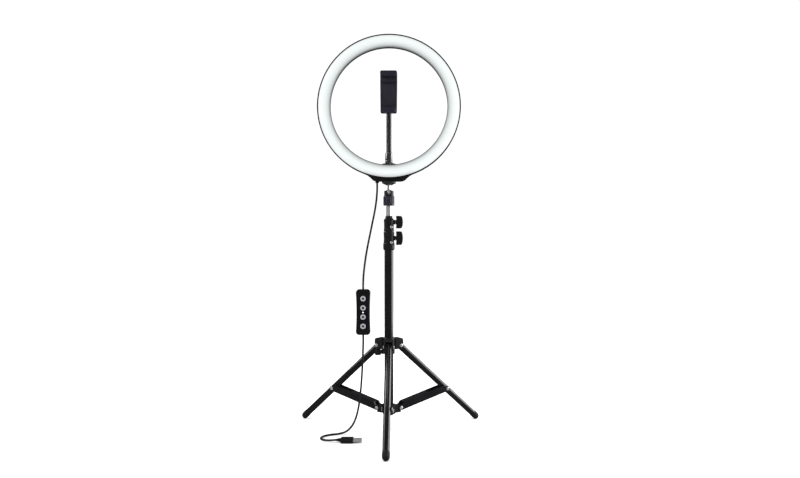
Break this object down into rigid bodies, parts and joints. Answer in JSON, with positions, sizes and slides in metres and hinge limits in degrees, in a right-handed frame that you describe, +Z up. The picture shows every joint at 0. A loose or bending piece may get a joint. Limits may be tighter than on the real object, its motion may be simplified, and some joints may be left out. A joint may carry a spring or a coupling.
{
  "type": "ring light",
  "caption": "Ring light on a folding three-legged stand, with a sliding mast, ball head, flexible phone holder and a cord with a button controller and USB plug.",
  "frame": {"origin": "on the floor, under the centre of the box around the stand without its cord; the mast stands at +Y of it so that the three feet are centred", "axes": "+Z up the mast, -Y the way the light faces, +X to the right seen from the front"},
  "size_m": [0.342, 0.298, 0.718],
  "materials": {
    "black_powder_coat": "gloss black powder coat",
    "black_plastic": "moulded black plastic, fine texture",
    "black_gloss_plastic": "gloss black plastic",
    "steel": "zinc-plated steel",
    "chrome": "polished chrome",
    "brass": "turned brass",
    "diffuser": "translucent white diffuser, lit",
    "led": "phosphor LED",
    "board_white": "white circuit board",
    "board_green": "green circuit board",
    "rubber": "soft black rubber",
    "cord_pvc": "black PVC cord",
    "neck_coil": "black flexible metal tube",
    "button_grey": "silver plastic",
    "lens": "clear light pipe"
  },
  "bodies": {
    "column": {"column_tube": "black_powder_coat", "column_end_cap": "black_plastic", "brace_hub": "black_plastic", "brace_hub_pins": "steel", "lower_clamp": "black_plastic", "lower_clamp_bolt": "steel"},
    "lower_knob": {"lower_clamp_knob": "black_plastic"},
    "leg_collar": {"leg_hub": "black_plastic", "leg_hub_pins": "steel"},
    "collar_knob": {"leg_hub_knob": "black_plastic"},
    "middle_section": {"middle_tube": "black_powder_coat", "upper_clamp": "black_plastic", "upper_clamp_bolt": "steel"},
    "upper_knob": {"upper_clamp_knob": "black_plastic"},
    "top_section": {"top_tube": "chrome", "head_stud": "steel"},
    "head_base": {"ball_cup": "black_plastic", "cord_upper": "cord_pvc", "cord_lower": "cord_pvc", "controller_front": "black_gloss_plastic", "controller_back": "black_gloss_plastic", "controller_board": "board_green", "status_light": "lens", "usb_body": "rubber", "usb_shell": "steel"},
    "lock": {"lock_ring": "black_plastic"},
    "light": {"head_ball": "steel", "head_platform": "black_plastic", "ring_shell": "black_gloss_plastic", "ring_diffuser": "diffuser", "led_board": "board_white", "leds": "led", "base_cover": "black_gloss_plastic", "threaded_insert": "brass", "housing_screws": "steel", "cord_grommet": "cord_pvc", "neck_ferrule": "steel"},
    "neck_1": {"neck_lower": "neck_coil"},
    "neck_2": {"neck_middle": "neck_coil"},
    "neck_3": {"neck_upper": "neck_coil", "neck_swivel": "black_plastic"},
    "holder": {"clip_back": "black_plastic", "clip_spring": "steel"},
    "jaw": {"clip_jaw": "black_gloss_plastic"},
    "leg_front_body": {"leg_front": "black_powder_coat", "foot_front": "rubber"},
    "brace_front_body": {"brace_front": "black_powder_coat", "rivets_front": "steel"},
    "leg_left_body": {"leg_left": "black_powder_coat", "foot_left": "rubber"},
    "brace_left_body": {"brace_left": "black_powder_coat", "rivets_left": "steel"},
    "leg_right_body": {"leg_right": "black_powder_coat", "foot_right": "rubber"},
    "brace_right_body": {"brace_right": "black_powder_coat", "rivets_right": "steel"},
    "button_power_body": {"button_power": "button_grey"},
    "button_colour_body": {"button_colour": "button_grey"},
    "button_brighter_body": {"button_brighter": "button_grey"},
    "button_dimmer_body": {"button_dimmer": "button_grey"}
  },
  "joints": [
    {"name": "leg_fold", "type": "slide", "parent": "column", "child": "leg_collar", "axis": [0, 0, 1], "range_m": [0, 0.12378]},
    {"name": "leg_front_hinge", "type": "hinge", "parent": "leg_collar", "child": "leg_front_body", "pos_m": [0, 0.0265, 0.155], "axis": [1, 0, 0], "range_deg": [0, 48.66]},
    {"name": "brace_front_hinge", "type": "hinge", "parent": "column", "child": "brace_front_body", "pos_m": [0, 0.0265, 0.041], "axis": [1, 0, 0], "range_deg": [-75.79, 0]},
    {"name": "leg_left_hinge", "type": "hinge", "parent": "leg_collar", "child": "leg_left_body", "pos_m": [-0.01819, 0.058, 0.155], "axis": [-0.5, -0.866, 0], "range_deg": [0, 48.66]},
    {"name": "brace_left_hinge", "type": "hinge", "parent": "column", "child": "brace_left_body", "pos_m": [-0.01819, 0.058, 0.041], "axis": [-0.5, -0.866, 0], "range_deg": [-75.79, 0]},
    {"name": "leg_right_hinge", "type": "hinge", "parent": "leg_collar", "child": "leg_right_body", "pos_m": [0.01819, 0.058, 0.155], "axis": [-0.5, 0.866, 0], "range_deg": [0, 48.66]},
    {"name": "brace_right_hinge", "type": "hinge", "parent": "column", "child": "brace_right_body", "pos_m": [0.01819, 0.058, 0.041], "axis": [-0.5, 0.866, 0], "range_deg": [-75.79, 0]},
    {"name": "collar_knob_turn", "type": "hinge", "parent": "leg_collar", "child": "collar_knob", "pos_m": [0, 0.0475, 0.145], "axis": [-0.866, -0.5, 0], "range_deg": [0, 360]},
    {"name": "lower_knob_turn", "type": "hinge", "parent": "column", "child": "lower_knob", "pos_m": [0, 0.0475, 0.3497], "axis": [1, 0, 0], "range_deg": [0, 360]},
    {"name": "mast_lower", "type": "slide", "parent": "column", "child": "middle_section", "axis": [0, 0, 1], "range_m": [0, 0.23]},
    {"name": "upper_knob_turn", "type": "hinge", "parent": "middle_section", "child": "upper_knob", "pos_m": [0, 0.0475, 0.3786], "axis": [1, 0, 0], "range_deg": [0, 360]},
    {"name": "mast_upper", "type": "slide", "parent": "middle_section", "child": "top_section", "axis": [0, 0, 1], "range_m": [0, 0.23]},
    {"name": "head_pan", "type": "hinge", "parent": "top_section", "child": "head_base", "pos_m": [0, 0.0475, 0.4315], "axis": [0, 0, 1], "continuous": true, "deforming": ["cord_lower"]},
    {"name": "lock_ring_turn", "type": "hinge", "parent": "head_base", "child": "lock", "pos_m": [0, 0.0475, 0.417], "axis": [0, 0, 1], "range_deg": [0, 180]},
    {"name": "head_tilt", "type": "hinge", "parent": "head_base", "child": "light", "pos_m": [0, 0.0475, 0.4315], "axis": [1, 0, 0], "range_deg": [-30, 90], "deforming": ["cord_upper"]},
    {"name": "neck_bend", "type": "hinge", "parent": "light", "child": "neck_1", "pos_m": [0, 0.0475, 0.5063], "axis": [1, 0, 0], "range_deg": [-24, 24]},
    {"name": "neck_bend_2", "type": "hinge", "parent": "neck_1", "child": "neck_2", "pos_m": [0, 0.0475, 0.5382], "axis": [1, 0, 0], "range_deg": [-24, 24]},
    {"name": "neck_bend_3", "type": "hinge", "parent": "neck_2", "child": "neck_3", "pos_m": [0, 0.0475, 0.5701], "axis": [1, 0, 0], "range_deg": [-24, 24]},
    {"name": "holder_turn", "type": "hinge", "parent": "neck_3", "child": "holder", "pos_m": [0, 0.0475, 0.6105], "axis": [0, -1, 0], "range_deg": [-90, 90]},
    {"name": "jaw_slide", "type": "slide", "parent": "holder", "child": "jaw", "axis": [0, 0, 1], "range_m": [0, 0.025], "stiffness_N_per_m": 120, "springref_m": -0.03, "deforming": ["clip_spring"]},
    {"name": "press_power", "type": "slide", "parent": "head_base", "child": "button_power_body", "axis": [0, 1, 0], "range_m": [0, 0.0008], "stiffness_N_per_m": 600, "springref_m": -0.001},
    {"name": "press_colour", "type": "slide", "parent": "head_base", "child": "button_colour_body", "axis": [0, 1, 0], "range_m": [0, 0.0008], "stiffness_N_per_m": 600, "springref_m": -0.001},
    {"name": "press_brighter", "type": "slide", "parent": "head_base", "child": "button_brighter_body", "axis": [0, 1, 0], "range_m": [0, 0.0008], "stiffness_N_per_m": 600, "springref_m": -0.001},
    {"name": "press_dimmer", "type": "slide", "parent": "head_base", "child": "button_dimmer_body", "axis": [0, 1, 0], "range_m": [0, 0.0008], "stiffness_N_per_m": 600, "springref_m": -0.001}
  ],
  "couplings": [
    {"joint": "leg_front_hinge", "follows": "leg_fold", "rad_per_m": 6.8606},
    {"joint": "brace_front_hinge", "follows": "leg_fold", "rad_per_m": -10.686},
    {"joint": "leg_left_hinge", "follows": "leg_fold", "rad_per_m": 6.8606},
    {"joint": "brace_left_hinge", "follows": "leg_fold", "rad_per_m": -10.686},
    {"joint": "leg_right_hinge", "follows": "leg_fold", "rad_per_m": 6.8606},
    {"joint": "brace_right_hinge", "follows": "leg_fold", "rad_per_m": -10.686},
    {"joint": "neck_bend_2", "follows": "neck_bend", "ratio": 1},
    {"joint": "neck_bend_3", "follows": "neck_bend", "ratio": 1}
  ]
}
